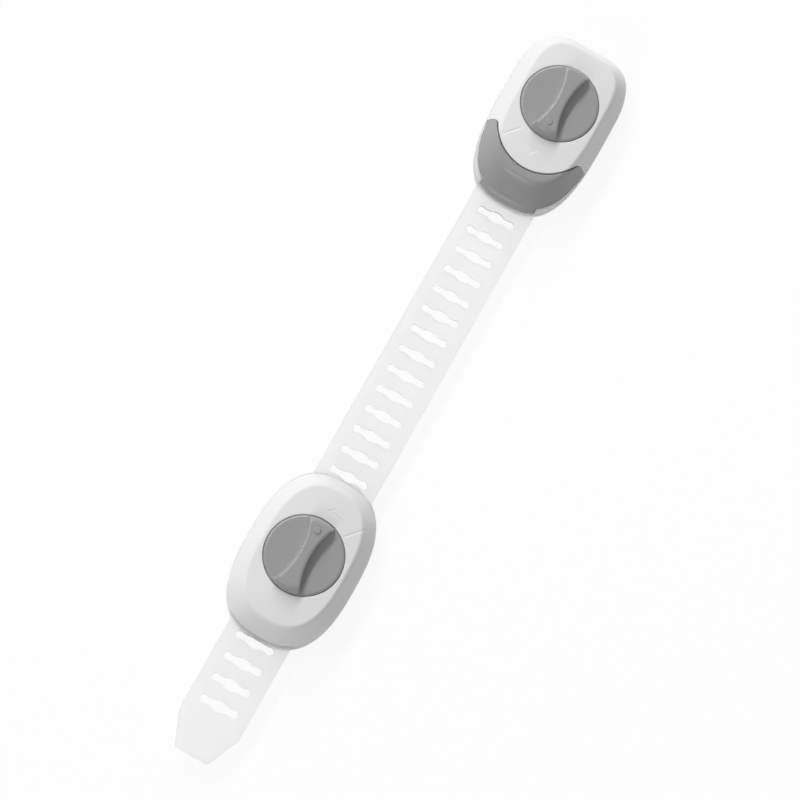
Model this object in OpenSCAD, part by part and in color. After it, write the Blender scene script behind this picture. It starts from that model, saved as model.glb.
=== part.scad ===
// Adjustable cabinet safety lock: a latch housing, a slotted strap that plugs into it, and an adjuster
// housing that slides along the strap. Each housing has a round grip dial on its cover.
// The strap runs along Y with the latch at +Y, the adhesive pads face down and Z = 0 is their under face.

/* [Strap] */
// Width of the strap
strap_w = 18; // [16:0.5:19]
// Thickness of the strap
strap_t = 1.2; // [1:0.1:1.5]
// Distance from slot to slot
slot_pitch = 6.4; // [6:0.1:7]
// Number of slots
slot_count = 25; // [22:1:30]
// Number of slots from the latch up to the one under the adjuster's dial
adjuster_slot_count = 18; // [12:1:20]
// Length of a slot across the strap
slot_length = 11.2; // [10.8:0.1:12]
// Diameter of the round ends of a slot
slot_end_d = 2.2; // [2:0.1:2.4]
// Width of a slot beside its round ends
slot_neck = 1.8; // [1.4:0.1:1.9]
// Width of a slot at its middle
slot_middle = 3; // [2.4:0.1:3.4]
// Length of the wide middle of a slot
middle_length = 6.4; // [5:0.1:7]
// From the latch to the middle of the first slot
lead_length = 4.4; // [3:0.1:8]
// From the middle of the last slot to the end of the strap
tail_reach = 14.8; // [13:0.1:20]
// Length of the tapered end
taper_length = 9.5; // [6:0.1:11]
// Width of the strap at its end
tail_w = 10; // [8:0.5:13]
// Corner radius at the end of the strap
tail_round = 1.2; // [0.6:0.1:2]
// Length of strap held under its head
strap_grip = 8.8; // [8:0.1:9.4]

/* [Housings] */
// Thickness of the adhesive foam pads
pad_t = 1.1; // [0.8:0.1:2]
// Distance from the edge of a base to the edge of its pad
pad_inset = 1.2; // [0.6:0.1:3]
// Thickness of the floor of a base
floor_t = 1.5; // [1.3:0.1:2]
// Height of the strap over the floor of a base
strap_lift = 1; // [0.9:0.1:1.4]
// Height of the flat faces of the covers over the mounting surface
face_h = 13; // [12.8:0.1:15]
// Height of the upright foot of the covers' sides
skirt_h = 2.9; // [2.4:0.1:3.6]
// Height of the rounded edge round the flat face
edge_h = 1.6; // [1:0.1:2]
// How far the sloped side leans in below the rounded edge
slope_inset = 2.7; // [2.2:0.1:3]
// How far the flat face stands in from the foot of the side
face_inset = 4.1; // [3.8:0.1:4.4]
// Side wall of the covers
wall = 1.3; // [1:0.1:1.5]
// Top wall of the covers
top_wall = 1.6; // [1.2:0.1:2]
// Depth of the well that a dial sits in
well_depth = 2.2; // [2:0.1:2.4]
// Thickness of the floor of the well
well_floor_t = 1.4; // [1.2:0.1:1.5]

/* [Latch housing] */
// Width of the latch housing
latch_w = 32; // [31.5:0.1:34]
// From the latch dial to the end of the housing away from the strap
latch_head = 21.2; // [21:0.1:24]
// From the latch dial to the end of the housing at the strap
latch_foot = 30.3; // [30:0.1:34]
// Squareness of the latch housing's outline at its head
latch_head_power = 3.7; // [3.2:0.1:4.5]
// Squareness of the latch housing's outline at its foot
latch_foot_power = 2.9; // [2.6:0.1:3.4]
// How far the sloped foot stands in from the rim of the base
foot_rim = 1.35; // [1.2:0.05:1.6]
// Radius of the cover's round tongue
tongue_r = 13.8; // [13.6:0.1:14.4]
// From the latch dial to the tips of the crescent
tip_reach = 12.3; // [12:0.1:12.8]
// Rounding of the crescent's tips
tip_round = 0.9; // [0.5:0.1:1]
// Width of the crescent's lip over the strap
lip_w = 17.1; // [16:0.1:17.4]
// Thickness of that lip
lip_t = 1.4; // [1.2:0.1:1.8]
// Height of the head's seat over the strap
seat_h = 3.4; // [3:0.1:4.2]
// From the side and the head of the housing to its rear case screws
rear_screw_inset = 6.5; // [6.2:0.1:7]

/* [Adjuster housing] */
// Width of the adjuster housing
adjuster_w = 32.2; // [32:0.1:34]
// Length of the adjuster housing
adjuster_length = 48.8; // [48:0.2:52]
// Squareness of the adjuster housing's outline
adjuster_power = 2.65; // [2.5:0.05:3]
// How far the ends of its base show beyond the cover
end_ledge = 0.7; // [0.4:0.1:1]
// From the adjuster dial to its case screws, along the strap
screw_reach = 12.4; // [12:0.1:12.6]

/* [Dials] */
// Diameter of a dial
dial_d = 22; // [21:0.1:22.2]
// Height of the dial's face over the cover
dial_proud = 0.6; // [0.3:0.1:1]
// Chamfer of the dial's edge
dial_chamfer = 0.5; // [0.2:0.05:0.55]
// Height of the grip bar over the dial's face
grip_h = 3; // [2:0.1:4]
// Width of the grip bar at its waist
grip_waist = 2.8; // [2.4:0.1:3.4]
// Width of the grip bar at its ends
grip_end_w = 6.6; // [5:0.1:8]
// How much wider each side of the grip bar is at its root
grip_draft = 0.5; // [0.2:0.1:0.8]
// Length of the rounded fall at the ends of the grip bar
grip_fall = 1.9; // [1:0.1:2.6]
// Diameter of the raised dot on the grip bar
dot_d = 1.9; // [1.4:0.1:2.2]
// Height of the raised dot
dot_h = 0.35; // [0.2:0.05:0.5]
// From the middle of the dial to the dot
dot_reach = 7; // [6:0.1:7.4]
// Diameter of the hub that turns in the cover
hub_d = 8; // [7.4:0.1:8.2]
// Width across the flats of the drive stub under the hub
stub_flat = 3.6; // [3.4:0.1:3.8]
// Width across the clipped corners of the drive stub
stub_corner = 4.6; // [4.5:0.1:4.8]

/* [Latch lock] */
// Turn of the latch dial from open to locked, in degrees
latch_turn = 31; // [28:1:34]
// Diameter of the rotary catch
catch_d = 18.8; // [18:0.1:19.2]
// Thickness of the rotary catch
catch_t = 2.1; // [1.8:0.1:2.3]
// Diameter of the catch pin
pin_d = 3; // [2.6:0.1:3.1]
// From the latch dial to the catch pin
pin_reach = 6; // [5.9:0.1:6.2]
// Width of the tongue that plugs into the latch
plug_w = 12; // [10:0.2:12.4]
// Thickness of that tongue
plug_t = 2.8; // [2.6:0.1:2.9]
// Length of that tongue beyond the catch pin
plug_nose = 1.7; // [1.2:0.1:2]
// Thickness of the click spring's strip
click_t = 0.25; // [0.2:0.05:0.3]
// Height of the click spring's strip
click_h = 1.6; // [1.2:0.1:1.8]
// Distance between the holders of the click spring
click_span = 14; // [12:0.5:15]

/* [Adjuster lock] */
// Turn of the adjuster dial from open to locked, in degrees
adjuster_turn = 38; // [34:1:42]
// Drop of the tooth ring while the dial turns
ring_drop = 1.5; // [1.4:0.05:1.6]
// Height of the tooth ring
ring_h = 1.9; // [1.8:0.05:2]
// Thickness of the tooth ring's arms
arm_t = 1.2; // [1:0.05:1.4]
// Width of the tooth ring's arms
arm_w = 4.4; // [4:0.1:5]
// Wall of the tooth ring outside its pegs
ring_wall = 0.55; // [0.4:0.05:0.8]
// Diameter of the follower pins
follower_d = 1.3; // [1.1:0.1:1.4]
// Depth of the helical grooves in the cam barrel
groove_depth = 0.75; // [0.6:0.05:0.8]
// Diameter of the guide posts
post_d = 1.8; // [1.6:0.1:2]
// Length of the tooth ring's arms beyond the guide posts
arm_end = 0.5; // [0.4:0.1:0.7]
// Thickness of the cam's flange
flange_t = 0.8; // [0.7:0.1:1.4]
// Wire of the lift springs
wire_d = 0.35; // [0.3:0.05:0.35]
// Turns of a lift spring
spring_turns = 4; // [3:0.5:4]

/* [Fasteners] */
// Diameter of the self-tapping screws
screw_d = 2; // [1.8:0.1:2.2]
// Diameter of the screw heads
screw_head_d = 3.6; // [3.4:0.1:3.8]
// Height of the screw heads
screw_head_h = 1.2; // [1:0.1:1.3]
// Length of the case screws under their heads
case_screw_length = 5; // [4:0.1:5.5]
// Length of the dial screws under their heads
dial_screw_length = 5; // [4:0.1:5.2]
// Diameter of the screw bosses
boss_d = 3.8; // [3.6:0.1:4]
// Diameter of the strap rivets
rivet_d = 2.4; // [2:0.1:2.8]
// Thickness of the clamp plate under the strap's end
clamp_t = 0.8; // [0.7:0.05:0.85]

/* [Clearances] */
// Gap round parts that turn or slide
play = 0.1; // [0.06:0.01:0.14]
// Radial gap of a shaft in its bore
bore_play = 0.08; // [0.04:0.01:0.1]
// Gap round parts that are fixed together
fit = 0.02; // [0.01:0.01:0.04]
// Gap between the crescent and the cover
seam = 0.3; // [0.2:0.05:0.4]
// Gap at each edge of the strap and over it
strap_play = 0.2; // [0.15:0.05:0.3]
// Gap round a dial in its well
dial_gap = 0.25; // [0.15:0.05:0.3]
// Gap between the plug and the cover, and round its pin in the catch
plug_gap = 0.25; // [0.2:0.05:0.3]
// Gap round the pegs in a slot, and between them and the strap
peg_gap = 0.15; // [0.1:0.05:0.2]
// Gap round the follower pins in the grooves of the cam
groove_gap = 0.12; // [0.08:0.01:0.14]
// Gap of the lift springs round their posts
spring_gap = 0.25; // [0.15:0.05:0.3]

/* [Hidden] */
$fn = 64;
ring_points = 72;
edge_steps = 4;
fall_steps = 6;
arc_steps = 6;
// Overrun of every cut
over = 1;

// Heights from the mounting surface up
floor_z = pad_t + floor_t;
strap_z = floor_z + strap_lift;
strap_top = strap_z + strap_t;
shoulder_z = floor_z + skirt_h;
edge_z = face_h - edge_h;
well_z = face_h - well_depth;
well_under = well_z - well_floor_t;
cam_top = well_under - play;
ring_z = cam_top - flange_t - peg_gap - ring_h;
disc_z = well_z + play;
disc_top = face_h + dial_proud;
grip_top = disc_top + grip_h;
stub_z = cam_top - catch_t + play;
rim_top = shoulder_z - play;
seat_top = strap_top + seat_h;

// Places along the strap
first_slot = latch_foot + lead_length;
strap_end = first_slot + (slot_count - 1) * slot_pitch + tail_reach;
latch_y = (strap_end - latch_head) / 2;
adjuster_y = latch_y - first_slot - (adjuster_slot_count - 1) * slot_pitch;

// Outlines of the housings, as [half width, reach to +Y, reach to -Y, power at +Y, power at -Y]
base_ledge = wall / 5;
latch_outline = [latch_w / 2, latch_head, latch_foot, latch_head_power, latch_foot_power];
latch_skin = [latch_w / 2 - base_ledge, latch_head - base_ledge, latch_foot - foot_rim,
    latch_head_power, latch_foot_power];
adjuster_outline = [adjuster_w / 2, adjuster_length / 2, adjuster_length / 2,
    adjuster_power, adjuster_power];
adjuster_skin = [adjuster_w / 2 - base_ledge, adjuster_length / 2 - end_ledge,
    adjuster_length / 2 - end_ledge, adjuster_power, adjuster_power];
// How much further the slope leans in at each end than at the sides, as shares of the side's lean
latch_lean_shares = [1.1, 1.55];
adjuster_lean_shares = [1.1, 1.1];

// Places of the case screws as [x, y] from the dial
latch_screws = [for (side = [-1, 1]) each [
    [side * (latch_w / 2 - rear_screw_inset), latch_head - rear_screw_inset],
    [side * (latch_w / 2 - base_ledge - wall * 2 - boss_d / 2),
        -(tip_reach - wall - boss_d / 2 - play)]]];
adjuster_screws = [for (x = [-1, 1], y = [-1, 1])
    [x * (strap_w / 2 + strap_play + boss_d / 2 + play), y * screw_reach]];

// Adjuster lock
peg_x = (slot_length - slot_end_d) / 2;
peg_r = slot_end_d / 2 - peg_gap;
peg_h = ring_z - strap_top - peg_gap;
ring_bore_r = peg_x - peg_r;
barrel_r = ring_bore_r - play;
follower_z = ring_z + ring_h / 2;
groove_r = follower_d / 2 + groove_gap;
groove_floor_r = barrel_r - groove_depth;
barrel_z = follower_z - ring_drop - follower_d / 2 - play / 2;
ring_r = peg_x + peg_r + ring_wall;
flange_r = ring_r + flange_t / 2;
cam_seat = cam_top - catch_t - strap_play * 2;
spring_r = post_d / 2 + spring_gap + wire_d / 2;
spring_h = ring_z - floor_z;
post_x = strap_w / 2 + strap_play + spring_r + wire_d / 2 + play;
arm_reach = post_x + post_d / 2 + arm_end;

// Latch lock
tongue_reach = latch_foot - strap_grip - play;
plug_z = floor_z + strap_lift / 5;
plug_top = plug_z + plug_t;
plug_end = pin_reach - pin_d / 2 - plug_nose;
pin_z = plug_z + strap_lift / 2;
click_y = catch_d / 2 + click_h;
click_z = cam_top - catch_t + play;
rivet_x = plug_w / 2 - rivet_d / 2;
rivet_reach = latch_foot - strap_grip / 2;

colour_white = [0.9, 0.9, 0.9];
colour_grey = [0.56, 0.56, 0.57];
colour_clear = [0.86, 0.87, 0.87];
colour_foam = [0.75, 0.75, 0.76];
colour_steel = [0.7, 0.71, 0.73];

// Shapes shared by the housings

function bow(t, power) = sign(t) * pow(abs(t), 2 / power);

// Rounded outline of a housing, grown outwards by "grow"
function ring(o, grow = 0) = [for (i = [0:ring_points - 1])
    let (a = 360 * i / ring_points, up = sin(a) >= 0)
    [(o[0] + grow) * bow(cos(a), up ? o[3] : o[4]),
     ((up ? o[1] : o[2]) + grow) * bow(sin(a), up ? o[3] : o[4])]];

// The same outline drawn in by "inset", more at the ends by the lean shares
function plan(o, lean, inset) =
    ring([o[0] - inset, o[1] - inset * lean[0], o[2] - inset * lean[1], o[3], o[4]]);

// That outline at height z
function level(o, lean, inset, z) = [for (p = plan(o, lean, inset)) [p[0], p[1], z]];

// How far the sloped side stands in at height z
function slope_at(z) = slope_inset * max(0, z - shoulder_z) / (edge_z - shoulder_z);

// Point of the rounded edge between slope and face, as [inset, height], for t from 0 to 1
function edge_point(t) = let (corner = slope_inset + edge_h * slope_inset / (edge_z - shoulder_z))
    [pow(1 - t, 2) * slope_inset + 2 * t * (1 - t) * corner + t * t * face_inset,
     pow(1 - t, 2) * edge_z + (1 - pow(1 - t, 2)) * face_h];

// Solid through a stack of outlines, lowest first
module loft(rings) {
    n = len(rings[0]);
    m = len(rings);
    polyhedron(points = [for (r = rings) each r], faces = concat(
        [[for (i = [0:n - 1]) i]],
        [[for (i = [n - 1:-1:0]) (m - 1) * n + i]],
        [for (k = [0:m - 2], i = [0:n - 1]) each
            let (a = k * n + i, b = k * n + (i + 1) % n) [[a, a + n, b + n], [a, b + n, b]]]));
}

// Outer form of a cover from height "low" up to its flat face
module skin_form(o, lean, low) {
    loft(concat([level(o, lean, 0, low), level(o, lean, 0, max(low + play, shoulder_z))],
        [for (k = [0:edge_steps]) let (e = edge_point(k / edge_steps)) level(o, lean, e[0], e[1])]));
}

// Hollow of a cover, open below
module hollow_form(o, lean) {
    top = face_h - top_wall;
    loft([level(o, lean, wall, floor_z - over), level(o, lean, wall, shoulder_z),
        level(o, lean, wall + slope_at(top), top)]);
}

module pad(o) {
    linear_extrude(pad_t) polygon(ring(o, -pad_inset));
}

// Floor of a base with a low wall that the cover fits over, and screw bosses
module base_floor(o, inner, lean, screws) {
    translate([0, 0, pad_t]) linear_extrude(floor_t) polygon(ring(o));
    translate([0, 0, floor_z - play]) linear_extrude(floor_t + play) difference() {
        polygon(plan(inner, lean, wall + play));
        polygon(plan(inner, lean, wall * 2));
    }
    for (s = screws) translate([s[0], s[1], floor_z - play]) cylinder(h = floor_t + play, d = boss_d);
}

// Screw holes of a base with the recesses for their heads
module base_holes(screws) {
    for (s = screws) translate([s[0], s[1], 0]) {
        cylinder(h = strap_top + over, d = screw_d + fit * 2);
        cylinder(h = pad_t + screw_head_h + play, d = screw_head_d + play * 2);
    }
}

// Bosses inside a cover that take the case screws
module cover_bosses(o, lean, screws) {
    intersection() {
        skin_form(o, lean, floor_z);
        for (s = screws) translate([s[0], s[1], floor_z + floor_t])
            cylinder(h = face_h - floor_z - floor_t - top_wall / 2, d = boss_d);
    }
}

// Pilot holes for the case screws
module cover_pilots(screws) {
    for (s = screws) translate([s[0], s[1], floor_z])
        cylinder(h = floor_t + case_screw_length, d = screw_d + fit * 2);
}

// Cup under the face that the dial sits in
module well_cup() {
    translate([0, 0, well_under])
        cylinder(h = face_h - well_under - play, r = dial_d / 2 + dial_gap + wall);
}

module well_cut() {
    translate([0, 0, well_z]) cylinder(h = well_depth + over, r = dial_d / 2 + dial_gap);
    translate([0, 0, well_under - over])
        cylinder(h = well_floor_t + over * 2, r = hub_d / 2 + bore_play);
}

// Grip dial with its dot towards -Y: disc, hourglass bar, hub and drive stub
module grip_dial() {
    r = dial_d / 2;
    rise = (grip_end_w - grip_waist) / 2;
    half = r - grip_fall;
    scoop_r = (half * half + rise * rise) / (2 * rise);
    edge_r = r - dial_chamfer / 2;
    difference() {
        union() {
            rotate_extrude() polygon(concat(
                [[0, disc_z], [r, disc_z], [r, disc_top - dial_chamfer]],
                [for (k = [0:fall_steps]) let (a = 90 * k / fall_steps)
                    [edge_r - grip_fall * (1 - cos(a)), disc_top + grip_h * sin(a)]],
                [[0, grip_top]]));
            translate([0, 0, cam_top]) cylinder(h = disc_z - cam_top + play, d = hub_d);
            translate([0, 0, stub_z]) intersection() {
                cylinder(h = disc_z - stub_z, d = stub_corner);
                translate([-stub_flat / 2, -stub_flat / 2, 0])
                    cube([stub_flat, stub_flat, disc_z - stub_z]);
            }
            translate([0, -dot_reach, grip_top - play])
                cylinder(h = dot_h + play, d1 = dot_d, d2 = dot_d * 0.8);
        }
        for (side = [-1, 1]) translate([side * (scoop_r + grip_waist / 2), 0, disc_top])
            cylinder(h = grip_h + over, r1 = scoop_r - grip_draft, r2 = scoop_r + grip_draft * over / grip_h,
                $fn = 180);
        translate([0, 0, disc_z - over]) difference() {
            cylinder(h = over + (disc_top - disc_z) / 2, r = r - wall);
            translate([0, 0, -over]) cylinder(h = over * 3 + disc_top, r = hub_d / 2 + wall);
        }
        translate([0, 0, stub_z - over])
            cylinder(h = over + dial_screw_length + strap_play, d = screw_d + fit * 2);
    }
}

// Socket for the drive stub
module stub_socket(h) {
    intersection() {
        cylinder(h = h, d = stub_corner + fit * 2);
        translate([-stub_flat / 2 - fit, -stub_flat / 2 - fit, 0])
            cube([stub_flat + fit * 2, stub_flat + fit * 2, h]);
    }
}

// Self-tapping screw pointing up, with the seat of its head at Z = 0
module screw(length) {
    difference() {
        union() {
            translate([0, 0, -screw_head_h])
                cylinder(h = screw_head_h, d1 = screw_head_d * 0.8, d2 = screw_head_d);
            cylinder(h = length - screw_d / 2, d = screw_d);
            translate([0, 0, length - screw_d / 2])
                cylinder(h = screw_d / 2, d1 = screw_d, d2 = screw_d / 3);
        }
        for (a = [0, 90]) rotate([0, 0, a])
            translate([-screw_d / 2, -screw_d / 8, -screw_head_h - over])
            cube([screw_d, screw_d / 4, over + screw_head_h / 2]);
    }
}

// Latch housing

module latch_pad() {
    color(colour_foam) translate([0, latch_y, 0]) pad(latch_outline);
}

// Room that the strap, its head and the tongue need through the foot of the base
module head_passage() {
    translate([-strap_w / 2 - strap_play, -latch_foot - over, floor_z])
        cube([strap_w + strap_play * 2, latch_foot - tip_reach + over, strap_top + play - floor_z]);
    translate([-lip_w / 2 - play, -latch_foot - over, floor_z])
        cube([lip_w + play * 2, latch_foot - tip_reach + over, face_h]);
}

module latch_base() {
    color(colour_clear) translate([0, latch_y, 0]) {
        difference() {
            union() {
                base_floor(latch_outline, latch_skin, latch_lean_shares, latch_screws);
                // rim round the foot, below the crescent
                intersection() {
                    translate([0, 0, floor_z - play]) linear_extrude(rim_top - floor_z + play)
                        difference() {
                        polygon(ring(latch_outline));
                        polygon(ring(latch_outline, -foot_rim));
                    }
                    translate([-latch_w, -latch_foot - over, 0])
                        cube([latch_w * 2, latch_foot - tip_reach + over - seam / 2, face_h]);
                }
            }
            head_passage();
            base_holes(latch_screws);
        }
        // rails that guide the plug
        for (side = [-1, 1]) translate([side * (plug_w / 2 + play + wall / 2) - wall / 2,
            -(latch_foot - strap_grip - wall), floor_z - play])
            cube([wall, latch_foot - strap_grip - wall - plug_end, plug_t + play]);
    }
}

// Plan of the cover: everything but the crescent, drawn in by "inset"
module cover_plan(inset) {
    translate([-latch_w, -tip_reach + seam / 2 + inset])
        square([latch_w * 2, latch_head + tip_reach + over]);
    translate([0, tongue_r - tongue_reach]) circle(r = tongue_r - inset);
}

module latch_cover() {
    color(colour_white) translate([0, latch_y, 0]) {
        difference() {
            union() {
                difference() {
                    intersection() {
                        skin_form(latch_skin, latch_lean_shares, floor_z);
                        linear_extrude(face_h + over) cover_plan(0);
                    }
                    intersection() {
                        hollow_form(latch_skin, latch_lean_shares);
                        translate([0, 0, -over]) linear_extrude(face_h) cover_plan(wall);
                    }
                }
                well_cup();
                cover_bosses(latch_skin, latch_lean_shares, latch_screws);
                click_holders();
            }
            well_cut();
            cover_pilots(latch_screws);
            // room below the round tongue for the plug, and a way out for its pin
            translate([-latch_w, -latch_foot, floor_z - over])
                cube([latch_w * 2, latch_foot - tip_reach + seam / 2, plug_top + plug_gap - floor_z + over]);
            intersection() {
                hollow_form(latch_skin, latch_lean_shares);
                translate([-latch_w, -latch_foot, floor_z - over])
                    cube([latch_w * 2, latch_foot - tip_reach + seam + wall, plug_top + plug_gap - floor_z + over]);
            }
            translate([-pin_d / 2 - plug_gap, -latch_foot, floor_z])
                cube([pin_d + plug_gap * 2, latch_foot - tip_reach, cam_top - floor_z]);
        }
    }
}

// Two slotted blocks that hold the ends of the click spring
module click_holders() {
    h = face_h - top_wall / 2 - click_z;
    for (side = [-1, 1]) translate([side * click_span / 2, click_y, click_z]) difference() {
        translate([-click_h / 2, -click_h / 2, 0]) cube([click_h, click_h, h]);
        translate([-click_h, -click_t / 2 - fit, -over])
            cube([click_h * 2, click_t + fit * 2, over + click_h + play]);
    }
}

// Spring strip with a rounded bump that reaches for the notches of the catch
module latch_click_spring() {
    reach = click_y - catch_d / 2 - play - click_t / 2;
    half = click_span / 2 + click_h / 2;
    bend = click_h * 1.5;
    steps = 24;
    middle = [for (i = [0:steps]) let (x = half * (2 * i / steps - 1), t = min(1, abs(x) / bend))
        [x, -reach * (1 + cos(180 * t)) / 2]];
    color(colour_steel) translate([0, latch_y + click_y, click_z + play / 2]) linear_extrude(click_h)
        polygon(concat([for (p = middle) [p[0], p[1] + click_t / 2]],
            [for (i = [steps:-1:0]) [middle[i][0], middle[i][1] - click_t / 2]]));
}

module latch_dial() {
    color(colour_grey) translate([0, latch_y, 0]) grip_dial();
}

// Rotary catch: the pin comes in through the mouth and is trapped when the catch turns
module latch_catch() {
    z = cam_top - catch_t;
    groove = pin_d / 2 + plug_gap;
    pin_angle = asin(groove / pin_reach);
    color(colour_clear) translate([0, latch_y, z]) difference() {
        cylinder(h = catch_t, d = catch_d);
        translate([0, 0, -over]) stub_socket(catch_t + over * 2);
        translate([-groove, -catch_d, -over])
            cube([groove * 2, catch_d - pin_reach, catch_t + over * 2]);
        translate([0, 0, -over]) rotate([0, 0, -90 - pin_angle])
            rotate_extrude(angle = latch_turn + pin_angle * 2)
            translate([pin_reach - groove, 0]) square([groove * 2, catch_t + over * 2]);
        for (a = [90, 90 + latch_turn]) rotate([0, 0, a])
            translate([catch_d / 2 + click_h / 4, 0, -over])
            cylinder(h = catch_t + over * 2, r = click_h / 2);
    }
}

module latch_catch_screw() {
    color(colour_steel) translate([0, latch_y, cam_top - catch_t]) screw(dial_screw_length);
}

module latch_case_screws() {
    color(colour_steel)
        for (s = latch_screws) translate([s[0], latch_y + s[1], pad_t + screw_head_h + play])
        screw(case_screw_length);
}

// Strap and its head

// Plan of the crescent: the foot of the housing less the round tongue, with rounded tips
module crescent_plan() {
    offset(r = tip_round, $fn = 32) offset(delta = -tip_round) difference() {
        intersection() {
            polygon(ring(latch_skin));
            translate([-latch_w, -latch_foot - over])
                square([latch_w * 2, latch_foot - tip_reach + over - seam / 2]);
        }
        translate([0, tongue_r - tongue_reach]) circle(r = tongue_r + seam);
    }
}

module strap_head() {
    color(colour_grey) translate([0, latch_y, 0]) difference() {
        union() {
            // crescent shell
            difference() {
                intersection() {
                    skin_form(latch_skin, latch_lean_shares, shoulder_z);
                    translate([0, 0, shoulder_z]) linear_extrude(face_h) crescent_plan();
                }
                intersection() {
                    hollow_form(latch_skin, latch_lean_shares);
                    translate([0, 0, shoulder_z - over]) linear_extrude(face_h)
                        offset(delta = -wall) crescent_plan();
                }
            }
            // seat over the strap's end, and the lip that closes the rim above the strap
            intersection() {
                translate([0, 0, strap_top]) linear_extrude(seat_top - strap_top) difference() {
                    translate([-lip_w / 2, -latch_foot - over]) square([lip_w, strap_grip + over]);
                    translate([0, tongue_r - tongue_reach]) circle(r = tongue_r + seam);
                }
                union() {
                    skin_form(latch_skin, latch_lean_shares, strap_top);
                    translate([0, 0, strap_top]) linear_extrude(lip_t)
                        polygon(ring(latch_outline, -play));
                }
            }
            // plug that slides into the latch
            translate([-plug_w / 2, -latch_foot + foot_rim * 2, strap_top])
                cube([plug_w, latch_foot - foot_rim * 2 - plug_end, plug_top - strap_top]);
            translate([-plug_w / 2, -(latch_foot - strap_grip) + play, plug_z])
                cube([plug_w, latch_foot - strap_grip - play - plug_end, plug_t]);
        }
        translate([0, -pin_reach, pin_z]) cylinder(h = face_h, d = pin_d + fit);
        for (side = [-1, 1]) translate([side * rivet_x, -rivet_reach, 0])
            cylinder(h = seat_top - wall, d = rivet_d + fit * 2);
    }
}

module catch_pin() {
    tip = pin_d / 10;
    h = cam_top - plug_gap - pin_z;
    color(colour_steel) translate([0, latch_y - pin_reach, pin_z]) {
        cylinder(h = h - tip, d = pin_d);
        translate([0, 0, h - tip]) cylinder(h = tip, d1 = pin_d, d2 = pin_d - tip * 2);
    }
}

module strap_clamp_plate() {
    w = plug_w + rivet_d / 2;
    color(colour_steel) translate([0, latch_y - rivet_reach, strap_z - clamp_t]) difference() {
        translate([-w / 2, -rivet_d, 0]) cube([w, rivet_d * 2, clamp_t]);
        for (side = [-1, 1]) translate([side * rivet_x, 0, 0]) {
            translate([0, 0, -over]) cylinder(h = clamp_t + over * 2, d = rivet_d + fit * 2);
            translate([0, 0, -over]) cylinder(h = over + clamp_t / 2, d = rivet_d * 1.5 + fit * 2);
        }
    }
}

module strap_rivets() {
    z = strap_z - clamp_t;
    color(colour_steel) for (side = [-1, 1]) translate([side * rivet_x, latch_y - rivet_reach, z]) {
        cylinder(h = clamp_t / 2 - fit, d = rivet_d * 1.5);
        cylinder(h = seat_top - wall - play - z, d = rivet_d);
    }
}

// One slot: round ends, narrow necks and a lens-shaped middle
module slot_plan() {
    lens_r = (middle_length * middle_length + slot_middle * slot_middle) / (4 * slot_middle);
    for (side = [-1, 1]) translate([side * peg_x, 0]) circle(d = slot_end_d);
    square([peg_x * 2, slot_neck], center = true);
    intersection() {
        translate([0, lens_r - slot_middle / 2]) circle(r = lens_r, $fn = 128);
        translate([0, slot_middle / 2 - lens_r]) circle(r = lens_r, $fn = 128);
    }
}

// Outline of the strap with its tapered tail, from the middle of the first slot
module strap_plan() {
    root = first_slot - (latch_foot - strap_grip);
    far = first_slot - strap_end;
    lean = atan2((strap_w - tail_w) / 2, taper_length);
    arc_x = tail_w / 2 - tail_round * tan((90 - lean) / 2);
    half = concat([for (k = [0:arc_steps]) let (a = -90 + (90 - lean) * k / arc_steps)
        [arc_x + tail_round * cos(a), far + tail_round * (1 + sin(a))]],
        [[strap_w / 2, far + taper_length], [strap_w / 2, root]]);
    difference() {
        polygon(concat(half, [for (i = [len(half) - 1:-1:0]) [-half[i][0], half[i][1]]]));
        for (i = [0:slot_count - 1]) translate([0, -i * slot_pitch]) slot_plan();
        for (side = [-1, 1]) translate([side * rivet_x, first_slot - rivet_reach])
            circle(d = rivet_d + play);
    }
}

module strap() {
    color(colour_clear) translate([0, latch_y - first_slot, strap_z])
        linear_extrude(strap_t) strap_plan();
}

// Adjuster housing

module adjuster_pad() {
    color(colour_foam) translate([0, adjuster_y, 0]) pad(adjuster_outline);
}

// Way of the strap through the adjuster
module strap_way(top) {
    translate([-strap_w / 2 - strap_play, -adjuster_length, 0])
        cube([strap_w + strap_play * 2, adjuster_length * 2, top]);
}

module adjuster_base() {
    color(colour_clear) translate([0, adjuster_y, 0]) difference() {
        union() {
            difference() {
                base_floor(adjuster_outline, adjuster_skin, adjuster_lean_shares, adjuster_screws);
                translate([0, 0, floor_z]) strap_way(face_h);
            }
            // bed that the strap slides on, with a cheek on each side of it
            translate([0, 0, floor_z - play]) linear_extrude(strap_lift) intersection() {
                polygon(ring(adjuster_skin, -play));
                square([strap_w, adjuster_length], center = true);
            }
            translate([0, 0, floor_z - play]) linear_extrude(strap_top - floor_z) intersection() {
                polygon(plan(adjuster_skin, adjuster_lean_shares, wall + play));
                for (side = [-1, 1]) translate([side * (strap_w / 2 + strap_play + wall / 2), 0])
                    square([wall, adjuster_length], center = true);
            }
            for (side = [-1, 1]) translate([side * post_x, 0, floor_z - play])
                cylinder(h = ring_z + arm_t - floor_z + play * 2, d = post_d);
        }
        base_holes(adjuster_screws);
        // room for the springs, the arms of the tooth ring and the cover's bosses
        for (side = [-1, 1]) translate([side * post_x, 0, floor_z]) difference() {
            cylinder(h = face_h, r = spring_r + wire_d);
            translate([0, 0, -over]) cylinder(h = face_h + over * 2, d = post_d);
        }
        for (s = adjuster_screws) translate([s[0], s[1], floor_z + floor_t])
            cylinder(h = face_h, d = boss_d + play * 2);
        // pockets below the pegs
        for (side = [-1, 1]) translate([side * peg_x, 0, floor_z])
            cylinder(h = face_h, d = slot_end_d + peg_gap * 2);
    }
}

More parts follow.
